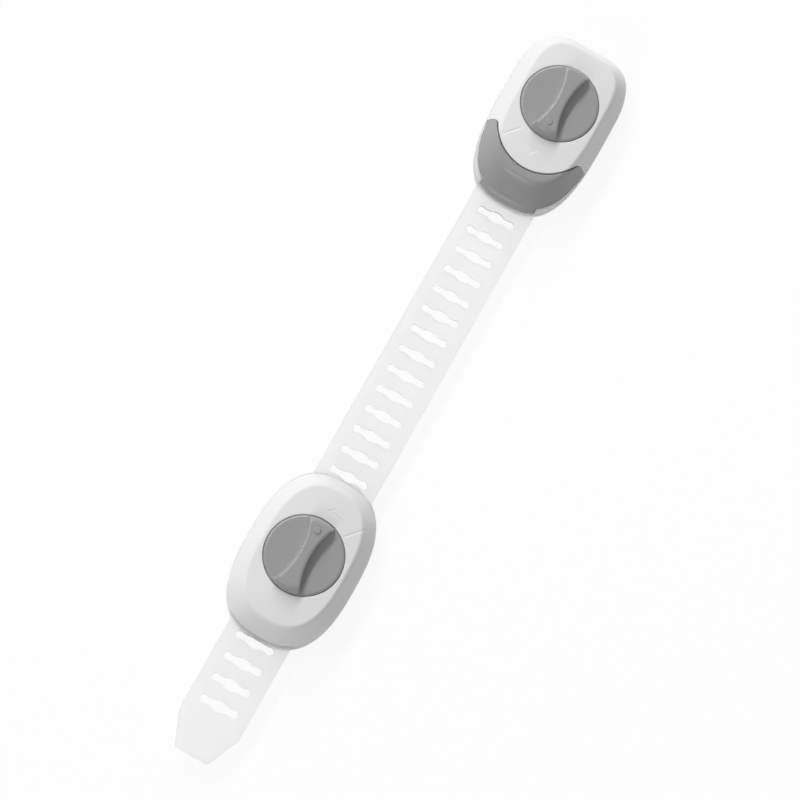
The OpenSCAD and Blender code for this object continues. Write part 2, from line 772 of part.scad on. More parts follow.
module adjuster_cover() {
    color(colour_white) translate([0, adjuster_y, 0]) difference() {
        union() {
            difference() {
                skin_form(adjuster_skin, adjuster_lean_shares, floor_z);
                hollow_form(adjuster_skin, adjuster_lean_shares);
            }
            well_cup();
            cover_bosses(adjuster_skin, adjuster_lean_shares, adjuster_screws);
        }
        well_cut();
        cover_pilots(adjuster_screws);
        strap_way(strap_top + strap_play);
    }
}

module adjuster_dial() {
    color(colour_grey) translate([0, adjuster_y, 0]) rotate([0, 0, 180]) grip_dial();
}

// Cam barrel with two helical grooves that drive the follower pins down
module adjuster_cam() {
    steps = 10;
    color(colour_clear) translate([0, adjuster_y, 0]) difference() {
        union() {
            translate([0, 0, barrel_z]) cylinder(h = cam_top - barrel_z, r = barrel_r);
            translate([0, 0, cam_top - flange_t]) cylinder(h = flange_t, r = flange_r);
        }
        translate([0, 0, cam_top - catch_t]) stub_socket(catch_t + over);
        translate([0, 0, barrel_z - over])
            cylinder(h = cam_seat - barrel_z + over, d = screw_head_d + play * 2);
        translate([0, 0, barrel_z]) cylinder(h = cam_top - barrel_z, d = screw_d + fit * 2);
        for (side = [90, -90], k = [0:steps]) let (a = adjuster_turn * k / steps)
            translate([0, 0, follower_z - ring_drop * k / steps]) rotate([0, 90, side + a])
                translate([0, 0, groove_floor_r])
                    cylinder(h = barrel_r - groove_floor_r + play, r = groove_r);
    }
}

module adjuster_cam_screw() {
    color(colour_steel) translate([0, adjuster_y, cam_seat]) screw(dial_screw_length);
}

// Ring round the cam barrel with two arms on the guide posts and two pegs for the strap's slots
module tooth_ring() {
    color(colour_grey) translate([0, adjuster_y, ring_z]) difference() {
        union() {
            cylinder(h = ring_h, r = ring_r);
            translate([-arm_reach, -arm_w / 2, 0]) cube([arm_reach * 2, arm_w, arm_t]);
            for (side = [-1, 1]) translate([side * peg_x, 0, -peg_h]) {
                translate([0, 0, peg_r / 3]) cylinder(h = peg_h - peg_r / 3 + play, r = peg_r);
                cylinder(h = peg_r / 3, r1 = peg_r * 0.7, r2 = peg_r);
            }
        }
        translate([0, 0, -play / 2]) cylinder(h = ring_h + play, r = ring_bore_r);
        for (side = [-1, 1]) translate([side * post_x, 0, -over])
            cylinder(h = ring_h + over * 2, d = post_d + play * 2);
        translate([0, 0, follower_z - ring_z]) rotate([90, 0, 0])
            cylinder(h = ring_r * 4, d = follower_d + fit, center = true);
    }
}

module follower_pins() {
    inner = groove_floor_r + play;
    outer = ring_r - play;
    color(colour_steel)
        for (side = [-1, 1]) translate([0, adjuster_y + side * (inner + outer) / 2, follower_z])
        rotate([90, 0, 0]) cylinder(h = outer - inner, d = follower_d, center = true);
}

// Point of a spring's centre line for t from 0 to 1, from the floor up to the arm
function coil(t) = let (rise = spring_h - wire_d - play)
    [spring_r * cos(360 * spring_turns * t), spring_r * sin(360 * spring_turns * t),
        wire_d / 2 + play / 2 + rise * t];

spring_steps = ceil(spring_turns * 8);
echo(least_gap_of_the_spring_to_itself = min([for (i = [0:spring_steps - 5], j = [i + 5:spring_steps])
    norm(coil(j / spring_steps) - coil(i / spring_steps)) - wire_d]));

// Coil spring round a guide post, as one tube
module lift_spring() {
    steps = spring_steps;
    sides = 6;
    tilt = atan2(spring_h - wire_d, 2 * PI * spring_r * spring_turns);
    rings = [for (k = [0:steps]) let (t = k / steps, a = 360 * spring_turns * t, c = coil(t))
        [for (j = [0:sides - 1]) let (b = 360 * j / sides, u = wire_d / 2 * cos(b), v = wire_d / 2 * sin(b))
            c + [u * cos(a) + v * sin(tilt) * sin(a), u * sin(a) - v * sin(tilt) * cos(a), v * cos(tilt)]]];
    polyhedron(points = [for (r = rings) each r], faces = concat(
        [[for (j = [0:sides - 1]) j]],
        [[for (j = [sides - 1:-1:0]) steps * sides + j]],
        [for (k = [0:steps - 1], j = [0:sides - 1]) each
            let (a = k * sides + j, b = k * sides + (j + 1) % sides)
            [[a, b + sides, b], [a, a + sides, b + sides]]]));
}

module lift_springs() {
    color(colour_steel) for (side = [-1, 1]) translate([side * post_x, adjuster_y, floor_z])
        lift_spring();
}

module adjuster_case_screws() {
    color(colour_steel) for (s = adjuster_screws)
        translate([s[0], adjuster_y + s[1], pad_t + screw_head_h + play]) screw(case_screw_length);
}

latch_pad();
latch_base();
latch_cover();
latch_dial();
latch_catch();
latch_catch_screw();
latch_click_spring();
latch_case_screws();
strap_head();
catch_pin();
strap_clamp_plate();
strap_rivets();
strap();
adjuster_pad();
adjuster_base();
adjuster_cover();
adjuster_dial();
adjuster_cam();
adjuster_cam_screw();
tooth_ring();
follower_pins();
lift_springs();
adjuster_case_screws();
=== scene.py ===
import math
from types import SimpleNamespace

import bpy
import numpy as np
from mathutils import Matrix, Vector
from mathutils.geometry import delaunay_2d_cdt


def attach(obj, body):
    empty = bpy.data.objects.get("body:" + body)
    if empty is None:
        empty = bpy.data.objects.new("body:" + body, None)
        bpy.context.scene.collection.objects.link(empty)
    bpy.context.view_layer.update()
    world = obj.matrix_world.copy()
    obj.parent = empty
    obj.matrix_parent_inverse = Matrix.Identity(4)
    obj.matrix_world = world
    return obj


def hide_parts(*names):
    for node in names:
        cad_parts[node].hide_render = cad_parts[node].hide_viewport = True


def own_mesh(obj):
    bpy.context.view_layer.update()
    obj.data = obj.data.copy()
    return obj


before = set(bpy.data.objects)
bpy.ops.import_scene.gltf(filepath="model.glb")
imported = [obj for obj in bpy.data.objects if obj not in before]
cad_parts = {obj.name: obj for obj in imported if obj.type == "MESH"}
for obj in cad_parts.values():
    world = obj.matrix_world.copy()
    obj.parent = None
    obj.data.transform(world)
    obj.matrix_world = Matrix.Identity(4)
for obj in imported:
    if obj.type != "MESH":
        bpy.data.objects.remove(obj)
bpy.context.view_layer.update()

# Sizes in millimetres. A few differ a little from the part's source, to look as in the photo
MM = 0.001
LATCH_Y = 90.95
ADJUSTER_Y = -52.55
PAD_TOP = 1.1
FLOOR_Z = 2.6
STRAP_Z = 3.6
STRAP_TOP = 4.8
SHOULDER_Z = 5.5
EDGE_Z = 11.4
FACE_Z = 13.0
SLOPE_INSET = 2.7
FACE_INSET = 4.1
CROWN_INSET = 12.0
CROWN = 0.35
WALL = 1.3
CEILING_Z = 11.4
WELL_Z = 10.8
WELL_UNDER = 9.4
WELL_R = 10.95
CUP_R = 12.55
BORE_R = 4.08
SHOULDER_FILLET = 0.45
SEAM_FILLET = 0.2
RIM_FILLET = 0.18

# Gap in the plan between the two loops of a step in height
STEP = 0.01

# Angle in degrees above which an edge between two faces is drawn sharp
SHARP = 38.0

# Insets of the rows of points on a cover's slope, rounded edge and face, and in its hollow
SLOPE_ROWS = [1.1, 1.6, 2.15, SLOPE_INSET]
EDGE_ROWS = [SLOPE_INSET + (FACE_INSET - SLOPE_INSET) * k / 8 for k in range(1, 9)]
FACE_ROWS = [4.3, 5.0, 6.2, 7.4, 8.6, 9.8]
HOLLOW_ROWS = [1.8, 2.4, 3.0, 3.6, 4.0, 5.0, 7.0]

# Crescent round the tongue: middle and radius of its inner arc, the seam's gap along the arc and at the
# tips, the tips' height in the plan, their radii, and how far the foot stands in from the skin
TONGUE_Y = -7.6
HORN_R = 13.45
HORN_GAP = 0.34
TIP_GAP = 0.1
HORN_TOP = -11.6
HORN_INNER = 2.1
HORN_OUTER = 0.7
HORN_EDGE = 0.08

# Grooves of the marks. The rows and the clear space are shares of the width, from the middle
MARK_W = 0.7
MARK_DEPTH = 0.12
MARK_ROWS = (0, 0.28, -0.28, 0.5, -0.5, 0.64, -0.64)
MARK_CLEAR = 0.8

MIRROR = np.array([-1, 1])


def outline(half, reach, power, lean):
    """Plan of a housing about its dial's axis, in two halves of superellipses.

    half is the width to one side. The pairs hold a value towards +Y and one towards -Y: reach is the length,
    power the curve's power, and lean how far reach draws in for an inset of 1."""
    return SimpleNamespace(half=half, reach=reach, power=power, lean=lean)


LATCH_SKIN = outline(15.74, (20.94, 28.95), (3.7, 2.9), (1.1, 1.55))
LATCH_OUTLINE = outline(16.0, (21.2, 30.3), (3.7, 2.9), (1.0, 1.0))
ADJUSTER_SKIN = outline(15.84, (23.7, 23.7), (2.65, 2.65), (1.1, 1.1))
ADJUSTER_OUTLINE = outline(16.1, (24.4, 24.4), (2.65, 2.65), (1.0, 1.0))


# Plan curves

def bow(t, power):
    """Coordinate on a superellipse of the given power from a cosine or sine."""
    return np.sign(t) * np.abs(t) ** (2 / power)


def points_at(o, inset, a):
    """Points of an outline drawn in by inset, at the angles a of its curve in radians."""
    up = np.sin(a) >= 0
    power = np.where(up, *o.power)
    reach = np.where(up, o.reach[0] - inset * o.lean[0], o.reach[1] - inset * o.lean[1])
    return np.stack([(o.half - inset) * bow(np.cos(a), power), reach * bow(np.sin(a), power)], 1)


def ring(o, inset=0.0, spacing=0.5, start=0.0, end=360.0):
    """Outline of a housing drawn in by inset, with evenly spaced points, anticlockwise."""
    samples = 6001
    p = points_at(o, inset, np.radians(np.linspace(start, end, samples)))
    return spaced(p, spacing, end - start >= 360)


def part_ring(o, inset, y, spacing=0.5, below=False):
    """Part of an outline above height y of the plan, from right to left.

    With below it is the part under that height, from left to right."""
    samples = 20001
    a = np.linspace(-90, 270, samples)
    over = a[points_at(o, inset, np.radians(a))[:, 1] > y]
    if below:
        return ring(o, inset, spacing, over[-1], over[0] + 360)
    return ring(o, inset, spacing, over[0], over[-1])


def spaced(p, spacing, closed=False):
    """Points at even steps along a polyline. A closed one leaves its last point out."""
    run = np.concatenate([[0], np.cumsum(np.hypot(*np.diff(p, axis=0).T))])
    n = max(2, int(round(run[-1] / spacing)))
    s = np.linspace(0, run[-1], n + 1)
    q = np.stack([np.interp(s, run, p[:, 0]), np.interp(s, run, p[:, 1])], 1)
    return q[:-1] if closed else q


def arc(cx, cy, r, start, end, spacing=0.5):
    """Points along an arc between two angles in degrees, both ends included."""
    n = max(3, int(round(abs(math.radians(end - start)) * r / spacing)))
    a = np.radians(np.linspace(start, end, n + 1))
    return np.stack([cx + r * np.cos(a), cy + r * np.sin(a)], 1)


def circle(r, spacing=0.5, cx=0.0, cy=0.0):
    return arc(cx, cy, r, 0, 360, spacing)[:-1]


def joined(*parts):
    """One closed polyline from parts that follow each other, without doubled points."""
    p = np.concatenate(parts)
    keep = np.hypot(*(p - np.roll(p, 1, 0)).T) > STEP / 2
    return p[keep]


def inset_at(o, x, y):
    """How far inside the outline each point lies, on the scale of ring's inset."""
    lowest, halvings = -3.0, 44
    power, reach, lean = (np.where(y >= 0, *pair) for pair in (o.power, o.reach, o.lean))
    low = np.full(len(x), lowest)
    high = np.minimum(o.half, reach / lean) - 1e-6
    for _ in range(halvings):
        mid = (low + high) / 2
        out = np.abs(x / (o.half - mid)) ** power + np.abs(y / (reach - mid * lean)) ** power > 1
        high = np.where(out, mid, high)
        low = np.where(out, low, mid)
    return (low + high) / 2


def distance(p, line, closed=True):
    """Distance of each point to a polyline, worked out for a batch of points at a time."""
    batch = 500
    a = line
    d = np.roll(line, -1, 0) - line
    if not closed:
        a, d = a[:-1], d[:-1]
    size = np.maximum((d * d).sum(1), 1e-12)
    out = np.empty(len(p))
    for k in range(0, len(p), batch):
        w = p[k:k + batch, None] - a[None]
        t = np.clip((w * d).sum(2) / size, 0, 1)
        out[k:k + batch] = np.sqrt(((w - t[..., None] * d) ** 2).sum(2).min(1))
    return out


def inside(p, line):
    """Which points lie in a closed polyline."""
    x, y = p[:, 0], p[:, 1]
    found = np.zeros(len(p), bool)
    for (ax, ay), (bx, by) in zip(line, np.roll(line, -1, 0)):
        if ay != by:
            found ^= ((ay > y) != (by > y)) & (x < (bx - ax) * (y - ay) / (by - ay) + ax)
    return found


def offset(line, d, closed=True):
    """Polyline moved to its left by d, which is inwards for an anticlockwise one."""
    sharpest = 0.3
    ahead = np.roll(line, -1, 0) - line
    if not closed:
        ahead[-1] = ahead[-2]
    ahead /= np.maximum(np.hypot(*ahead.T), 1e-9)[:, None]
    back = np.roll(ahead, 1, 0)
    if not closed:
        back[0] = ahead[0]
    n = np.stack([-(ahead + back)[:, 1], (ahead + back)[:, 0]], 1)
    return line + n * d / np.maximum((n * n).sum(1) / 2, sharpest)[:, None]


# Heights

def skin_z(t):
    """Height of a cover's skin by inset: slope, rounded edge and slightly crowned face."""
    corner = SLOPE_INSET + (FACE_Z - EDGE_Z) * SLOPE_INSET / (EDGE_Z - SHOULDER_Z)
    slope = SHOULDER_Z + t * (EDGE_Z - SHOULDER_Z) / SLOPE_INSET
    a, b = SLOPE_INSET - 2 * corner + FACE_INSET, 2 * (corner - SLOPE_INSET)
    u = np.clip(t, SLOPE_INSET, FACE_INSET) - SLOPE_INSET
    s = (-b + np.sqrt(b * b + 4 * a * u)) / (2 * a)
    edge = FACE_Z - (1 - s) ** 2 * (FACE_Z - EDGE_Z)
    rise = np.clip((t - FACE_INSET) / (CROWN_INSET - FACE_INSET), 0, 1)
    return np.where(t < SLOPE_INSET, slope, edge) + CROWN * (1 - (1 - rise) ** 2)


def fillet(d, r):
    """Drop of a rounded edge of radius r at distance d from it."""
    d = np.clip(d, 0, r)
    return r - np.sqrt(np.maximum(r * r - (r - d) ** 2, 0))


def steps(r):
    """Distances from an edge at which a fillet of radius r gets its rows of points."""
    return [r * (1 - math.cos(math.radians(a))) for a in range(18, 91, 18)] + [r * 1.5]


# Meshes

class Sheet:
    """Surface given as a height over the plan, triangulated between loops and loose points.

    A loose point is left out where its cell of the plan already holds a point."""

    CELL = 0.03

    def __init__(self):
        self.xy, self.z, self.edges, self.taken = [], [], [], set()

    def add(self, xy, z):
        start = len(self.xy)
        for p, h in zip(np.asarray(xy, float), np.broadcast_to(z, len(xy))):
            self.taken.add(self.cell(p))
            self.xy.append((float(p[0]), float(p[1])))
            self.z.append(float(h))
        return list(range(start, len(self.xy)))

    def cell(self, p):
        return (round(p[0] / self.CELL), round(p[1] / self.CELL))

    def loop(self, xy, z):
        """Closed row of points whose edges the triangles keep."""
        ids = self.add(xy, z)
        self.edges += list(zip(ids, ids[1:] + ids[:1]))
        return ids

    def dots(self, xy, height, keep=None):
        """Loose points whose height comes from a function of x and y."""
        xy = np.asarray(xy, float)
        if keep is not None:
            xy = xy[keep(xy)]
        free = [p for p in xy if self.cell(p) not in self.taken]
        if free:
            free = np.array(free)
            self.add(free, height(free[:, 0], free[:, 1]))

    def faces(self, outer, holes=()):
        """Triangles inside the closed polyline outer and outside the holes."""
        same_point = 1e-6
        plan = [Vector(p) for p in self.xy]
        _, _, faces, source = delaunay_2d_cdt(plan, self.edges, [], 0, same_point)[:4]
        names = [s[0] for s in source]
        tris = np.array([[names[i] for i in f] for f in faces])
        mid = np.array(self.xy)[tris].mean(1)
        keep = inside(mid, outer)
        for h in holes:
            keep &= ~inside(mid, h)
        return tris[keep]


class Solid:
    """Collects sheets and walls into one mesh."""

    def __init__(self):
        self.verts, self.tris = [], []

    def sheet(self, s, outer, holes=(), flip=False):
        base = len(self.verts)
        self.verts += [(x, y, z) for (x, y), z in zip(s.xy, s.z)]
        tris = s.faces(outer, holes) + base
        self.tris += [tuple(t[::-1]) if flip else tuple(t) for t in tris]
        return base

    def wall(self, top, bottom):
        """Strip between two closed rows of vertices, facing right of their run."""
        n = len(top)
        for i in range(n):
            j = (i + 1) % n
            self.tris.append((top[i], bottom[i], bottom[j], top[j]))

    def closed_below(self, top, edge_top, outer, z):
        """Adds the sheet top, a flat underside at height z and the wall between them."""
        a = self.sheet(top, outer)
        low = Sheet()
        edge_low = low.loop(outer, z)
        b = self.sheet(low, outer, flip=True)
        self.wall([a + i for i in edge_top], [b + i for i in edge_low])

    def piece(self, name, material, body, node, at=(0, 0), turn=0.0, sharp=SHARP):
        """The mesh as an object, turned about Z by radians and moved by at in the plan."""
        v = np.array(self.verts)
        if turn:
            c, s = math.cos(turn), math.sin(turn)
            v[:, :2] = v[:, :2] @ np.array([[c, s], [-s, c]])
        v[:, 0] += at[0]
        v[:, 1] += at[1]
        used = sorted({i for t in self.tris for i in t})
        index = {k: i for i, k in enumerate(used)}
        mesh = bpy.data.meshes.new(name)
        tris = [[index[i] for i in t] for t in self.tris]
        mesh.from_pydata([tuple(p) for p in v[used] * MM], [], tris)
        mesh.validate()
        return placed(mesh, name, material, body, node, sharp)


def placed(mesh, name, material, body, node, sharp=SHARP):
    """Object that rides on a body and stands in for a node of the part."""
    mesh.polygons.foreach_set("use_smooth", [True] * len(mesh.polygons))
    mesh.set_sharp_from_angle(angle=math.radians(sharp))
    obj = bpy.data.objects.new(name, mesh)
    bpy.context.scene.collection.objects.link(obj)
    mesh.materials.append(material)
    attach(obj, body)
    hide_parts(node)
    return obj


# Materials

def linked(tree, a, b):
    tree.links.new(a, b)


def noise(tree, coords, scale, detail, rough):
    n = tree.nodes.new("ShaderNodeTexNoise")
    n.inputs["Scale"].default_value = scale
    n.inputs["Detail"].default_value = detail
    n.inputs["Roughness"].default_value = rough
    linked(tree, coords, n.inputs["Vector"])
    return n.outputs["Fac"]


def ranged(tree, value, low, high, from_low=0.3, from_high=0.7):
    """Value moved to the range from low to high and held in it. Noise mostly lies between 0.3 and 0.7."""
    m = tree.nodes.new("ShaderNodeMapRange")
    m.inputs["From Min"].default_value = from_low
    m.inputs["From Max"].default_value = from_high
    m.inputs["To Min"].default_value = low
    m.inputs["To Max"].default_value = high
    linked(tree, value, m.inputs["Value"])
    return m.outputs["Result"]


def computed(tree, operation, a, b):
    """Result of a math node on a socket and either another socket or a number."""
    m = tree.nodes.new("ShaderNodeMath")
    m.operation = operation
    linked(tree, a, m.inputs[0])
    if isinstance(b, float):
        m.inputs[1].default_value = b
    else:
        linked(tree, b, m.inputs[1])
    return m.outputs["Value"]


def blended(tree, factor, a, b):
    """Colour between a and b."""
    mix = tree.nodes.new("ShaderNodeMix")
    mix.data_type = "RGBA"
    mix.inputs["A"].default_value = (*a, 1)
    mix.inputs["B"].default_value = (*b, 1)
    linked(tree, factor, mix.inputs["Factor"])
    return mix.outputs["Result"]


def mixed(tree, factor, a, b):
    """Shader between a and b."""
    mix = tree.nodes.new("ShaderNodeMixShader")
    linked(tree, factor, mix.inputs["Fac"])
    linked(tree, a, mix.inputs[1])
    linked(tree, b, mix.inputs[2])
    return mix.outputs["Shader"]


def material(name, pale, dark, rough, grain=2600.0, depth=0.000012, patch=90.0, **shader):
    """Moulded surface: colour drifts between pale and dark, with a fine grain in roughness and bump."""
    spread = 0.05
    mat = bpy.data.materials.new(name)
    mat.use_nodes = True
    tree = mat.node_tree
    bsdf = tree.nodes["Principled BSDF"]
    coords = tree.nodes.new("ShaderNodeTexCoord").outputs["Object"]
    drift = noise(tree, coords, patch, detail=4.0, rough=0.6)
    linked(tree, blended(tree, ranged(tree, drift, 0, 1), pale, dark), bsdf.inputs["Base Color"])
    fine = noise(tree, coords, grain, detail=3.0, rough=0.55)
    linked(tree, ranged(tree, fine, rough - spread, rough + spread), bsdf.inputs["Roughness"])
    bump = tree.nodes.new("ShaderNodeBump")
    bump.inputs["Distance"].default_value = depth
    bump.inputs["Strength"].default_value = 1.0
    linked(tree, fine, bump.inputs["Height"])
    linked(tree, bump.outputs["Normal"], bsdf.inputs["Normal"])
    for key, value in shader.items():
        bsdf.inputs[key.replace("_", " ")].default_value = value
    return mat


def grey(v, tint=0.0):
    """Grey of value v, a little bluer with a tint."""
    return (v - tint, v, v + tint)


white_plastic = material("white_plastic", grey(0.79), grey(0.77), 0.48)
grey_plastic = material("grey_plastic", grey(0.334, 0.002), grey(0.318, 0.002), 0.25, depth=0.000004,
                        Specular_IOR_Level=0.36)
clear_plastic = material("clear_plastic", grey(0.94), grey(0.92), 0.42, Transmission_Weight=0.45, IOR=1.35)
strap_plastic = material("strap_plastic", grey(0.94), grey(0.92), 0.37, Transmission_Weight=0.75, IOR=1.35)
foam = material("foam", grey(0.62), grey(0.5), 0.9, grain=1500.0, depth=0.00008, patch=700.0)
steel = material("steel", grey(0.55), grey(0.45), 0.3, grain=5000.0, depth=0.000004, Metallic=1.0)


# Covers

def well_rows(s, height):
    """The dial's well and hub bore in a top surface. Returns the bore's loop."""
    s.loop(circle(WELL_R), height(*circle(WELL_R).T))
    for d in steps(RIM_FILLET):
        s.dots(circle(WELL_R + d), height)
    s.loop(circle(WELL_R - STEP), WELL_Z)
    return s.loop(circle(BORE_R), WELL_Z)


def level_rows(s, o, height, keep, first=SHOULDER_FILLET):
    """Rows of points along the skin's levels, close where it bends."""
    for t in steps(first) + SLOPE_ROWS + EDGE_ROWS + FACE_ROWS:
        s.dots(ring(o, t), height, keep)


def roof(o):
    """Height of a cover's hollow: the sloped side wall and the ceiling."""
    def height(x, y):
        z = SHOULDER_Z + (inset_at(o, x, y) - WALL) * (EDGE_Z - SHOULDER_Z) / SLOPE_INSET
        return np.clip(z, SHOULDER_Z, CEILING_Z)
    return height


def hollow(o, outer, outer_z, inner, inner_z):
    """Underside of a cover: rim, hollow, cup under the well and hub bore."""
    off_edge = 0.1
    s = Sheet()
    rim = s.loop(outer, outer_z)
    s.loop(inner, inner_z)
    height = roof(o)
    within = offset(inner, STEP)
    s.loop(within, height(*within.T))
    s.loop(circle(CUP_R + STEP), height(*circle(CUP_R + STEP).T))
    s.loop(circle(CUP_R), WELL_UNDER)
    bore = s.loop(circle(BORE_R), WELL_UNDER)

    def clear(p):
        return (np.hypot(*p.T) > CUP_R + off_edge) & inside(p, within) & (distance(p, within) > off_edge)

    for t in HOLLOW_ROWS:
        s.dots(ring(o, t, 1.0), height, clear)
    return s, rim, bore


def marks(line, r, start, end):
    """Index line and arc arrow of a dial, as the middles of shallow grooves in the cover's face."""
    head_spread, head_length = 0.6, 1.4
    tip = np.array([r * math.cos(math.radians(end)), r * math.sin(math.radians(end))])
    ahead = math.radians(end) + math.copysign(math.pi / 2, end - start)
    strokes = [np.array(line), arc(0, 0, r, start, end, 0.3)]
    for spread in (-head_spread, head_spread):
        back = np.array([math.cos(ahead + spread), math.sin(ahead + spread)])
        strokes.append(np.array([tip, tip - head_length * back]))
    return [spaced(stroke, 0.25) for stroke in strokes]


def from_marks(p, strokes):
    return np.min([distance(p, stroke, False) for stroke in strokes], 0)


def cover(name, body, node, o, outer, seam, outer_z, inner, inner_z, at, strokes):
    """Shell of a housing over a dial's well. The seam is the part of its edge that meets the crescent."""
    off_well, off_seam, off_skin = 0.05, SEAM_FILLET * 1.6, 0.02

    def height(x, y):
        t = inset_at(o, x, y)
        z = skin_z(t) - fillet(t, SHOULDER_FILLET) - fillet(np.hypot(x, y) - WELL_R, RIM_FILLET)
        off = from_marks(np.stack([x, y], 1), strokes) * 2 / MARK_W
        z = z - MARK_DEPTH * np.maximum(1 - off * off, 0)
        if seam is not None:
            z = z - fillet(distance(np.stack([x, y], 1), seam, False), SEAM_FILLET)
        return z

    def clear(p):
        free = np.hypot(*p.T) > WELL_R + RIM_FILLET + off_well
        free &= from_marks(p, strokes) > MARK_W * MARK_CLEAR
        if seam is not None:
            free &= inside(p, outer) & (distance(p, seam, False) > off_seam)
        return free

    solid = Solid()
    top = Sheet()
    rim = top.loop(outer, height(*outer.T))
    for stroke in strokes:
        for share in MARK_ROWS:
            top.dots(offset(stroke, share * MARK_W, False), height)
    bore = well_rows(top, height)
    if seam is not None:
        for d in steps(SEAM_FILLET):
            row = offset(seam, d, False)[1:-1]
            top.dots(row, height, lambda p: inside(p, outer) & (inset_at(o, *p.T) > off_skin))
    level_rows(top, o, height, clear)
    a = solid.sheet(top, outer, [circle(BORE_R)])
    low, rim_low, bore_low = hollow(o, outer, outer_z, inner, inner_z)
    b = solid.sheet(low, outer, [circle(BORE_R)], flip=True)
    solid.wall([a + i for i in rim], [b + i for i in rim_low])
    solid.wall([a + i for i in bore][::-1], [b + i for i in bore_low][::-1])
    return solid.piece(name, white_plastic, body, node, at)


def adjuster_cover():
    """Oval cover, with a gate for the strap at each end."""
    gate_half, gate_z = 9.2, 5.0

    def edge_z(line):
        return np.where(np.abs(line[:, 0]) < gate_half, gate_z, FLOOR_Z)

    outer, inner = ring(ADJUSTER_SKIN), ring(ADJUSTER_SKIN, WALL)
    strokes = marks([(6.9, 9.6), (11.5, 14.8)], r=13.65, start=64.0, end=90.5)
    return cover("adjuster_cover_shell", "adjuster_housing", "adjuster_cover", ADJUSTER_SKIN,
                 outer, None, edge_z(outer), inner, edge_z(inner), (0, ADJUSTER_Y), strokes)


def horn(gap, tip_gap):
    """Right tip of the crescent, moved out by tip_gap, and the back arc after it, moved out by gap.

    The tip runs from its outer side to its inner side, where gap is reached. The third value is the
    height in the plan of its foot on the skin."""
    side_spacing, outer_spacing, inner_spacing, back_spacing = 0.05, 0.12, 0.1, 0.45
    iy, oy = HORN_TOP - HORN_INNER, HORN_TOP - HORN_OUTER
    dip = math.degrees(math.asin((TONGUE_Y - iy) / (HORN_R + HORN_INNER)))
    ix = (HORN_R + HORN_INNER) * math.cos(math.radians(dip))
    side = ring(LATCH_SKIN, HORN_EDGE, side_spacing, -60, 0)
    inward = offset(side, HORN_OUTER, False)
    ox = float(np.interp(oy, inward[:, 1], inward[:, 0]))
    foot = side[np.hypot(side[:, 0] - ox, side[:, 1] - oy).argmin()]
    lean = math.degrees(math.atan2(foot[1] - oy, foot[0] - ox))
    outer = arc(ox, oy, HORN_OUTER + tip_gap, lean, 90, outer_spacing)
    if tip_gap:
        outer = outer[inset_at(LATCH_SKIN, *outer.T) > 0]
    inner = arc(0, 0, 1, 90, 180 - dip, inner_spacing)
    widening = tip_gap + (gap - tip_gap) * np.linspace(0, 1, len(inner)) ** 2
    tip = joined(outer, np.array([ix, iy]) + inner * (HORN_INNER + widening)[:, None])
    return tip, arc(0, TONGUE_Y, HORN_R - gap, -dip, -180 + dip, back_spacing), foot[1]


def latch_cover():
    """Cover whose round tongue the crescent wraps."""
    arc_z, pin_way_z, pin_way_half, pin_way_back, spacing = 5.85, 9.3, 1.75, 5, 0.4

    def edge_z(line, on_skin):
        """Floor under the skin, higher along the crescent's arc and highest over the pin's way in."""
        z = np.where(on_skin, FLOOR_Z, arc_z)
        in_way = (line[:, 1] < TONGUE_Y - pin_way_back) & (np.abs(line[:, 0]) < pin_way_half)
        return np.where(in_way, pin_way_z, z)

    tip, tongue, _ = horn(HORN_GAP, TIP_GAP)
    skin = part_ring(LATCH_SKIN, 0, float(tip[0][1]))
    seam = joined(tip * MIRROR, tongue[::-1], tip[::-1])
    outer = joined(skin, seam)
    outer_z = edge_z(outer, np.arange(len(outer)) < len(skin))

    y = HORN_TOP + HORN_GAP + WALL
    r = HORN_R - HORN_GAP - WALL
    dip = math.degrees(math.asin((TONGUE_Y - y) / r))
    skin = part_ring(LATCH_SKIN, WALL, y)
    tongue = arc(0, TONGUE_Y, r, 180 + dip, 360 - dip)
    inner = joined(skin, spaced(np.array([skin[-1], tongue[0]]), spacing), tongue,
                   spaced(np.array([tongue[-1], skin[0]]), spacing)[:-1])
    inner_z = edge_z(inner, inner[:, 1] > y - STEP)
    strokes = marks([(-9.2, -15.0), (-6.2, -11.6)], r=15.1, start=-111.0, end=-86.5)
    return cover("latch_cover_shell", "latch_housing", "latch_cover", LATCH_SKIN,
                 outer, seam, outer_z, inner, inner_z, (0, LATCH_Y), strokes)


def crescent():
    """Grey strap head round the latch cover's tongue, with the cover's slope and face."""
    bottom, thinnest, seam_fillet, foot_fillet = 5.47, 0.05, 0.35, 0.12
    spacing, off_foot, off_seam, first_row = 0.45, 0.05, 0.55, 0.6
    o = LATCH_SKIN
    tip, back, foot_y = horn(0, 0)
    rim = part_ring(o, HORN_EDGE, foot_y, spacing, True)
    seam = joined(tip, back, tip[::-1] * MIRROR)
    outer = joined(rim[:-1], seam[:-1])

    def height(x, y):
        t = inset_at(o, x, y)
        z = skin_z(t) - fillet(t - HORN_EDGE, foot_fillet)
        z = z - fillet(distance(np.stack([x, y], 1), seam, False), seam_fillet)
        return np.maximum(z, bottom + thinnest)

    def clear(p):
        return inside(p, outer) & (distance(p, seam, False) > off_seam)

    top = Sheet()
    edge_top = top.loop(outer, height(*outer.T))
    for d in steps(seam_fillet):
        row = offset(seam, d, False)[1:-1]
        top.dots(row, height, lambda p: inside(p, outer) & (inset_at(o, *p.T) > HORN_EDGE + off_foot))
    for d in steps(foot_fillet):
        top.dots(ring(o, HORN_EDGE + d, spacing), height, clear)
    level_rows(top, o, height, clear, first_row)
    solid = Solid()
    solid.closed_below(top, edge_top, outer, bottom)
    return solid.piece("strap_head_crescent", grey_plastic, "strap_unit", "strap_head",
                       (0, LATCH_Y))


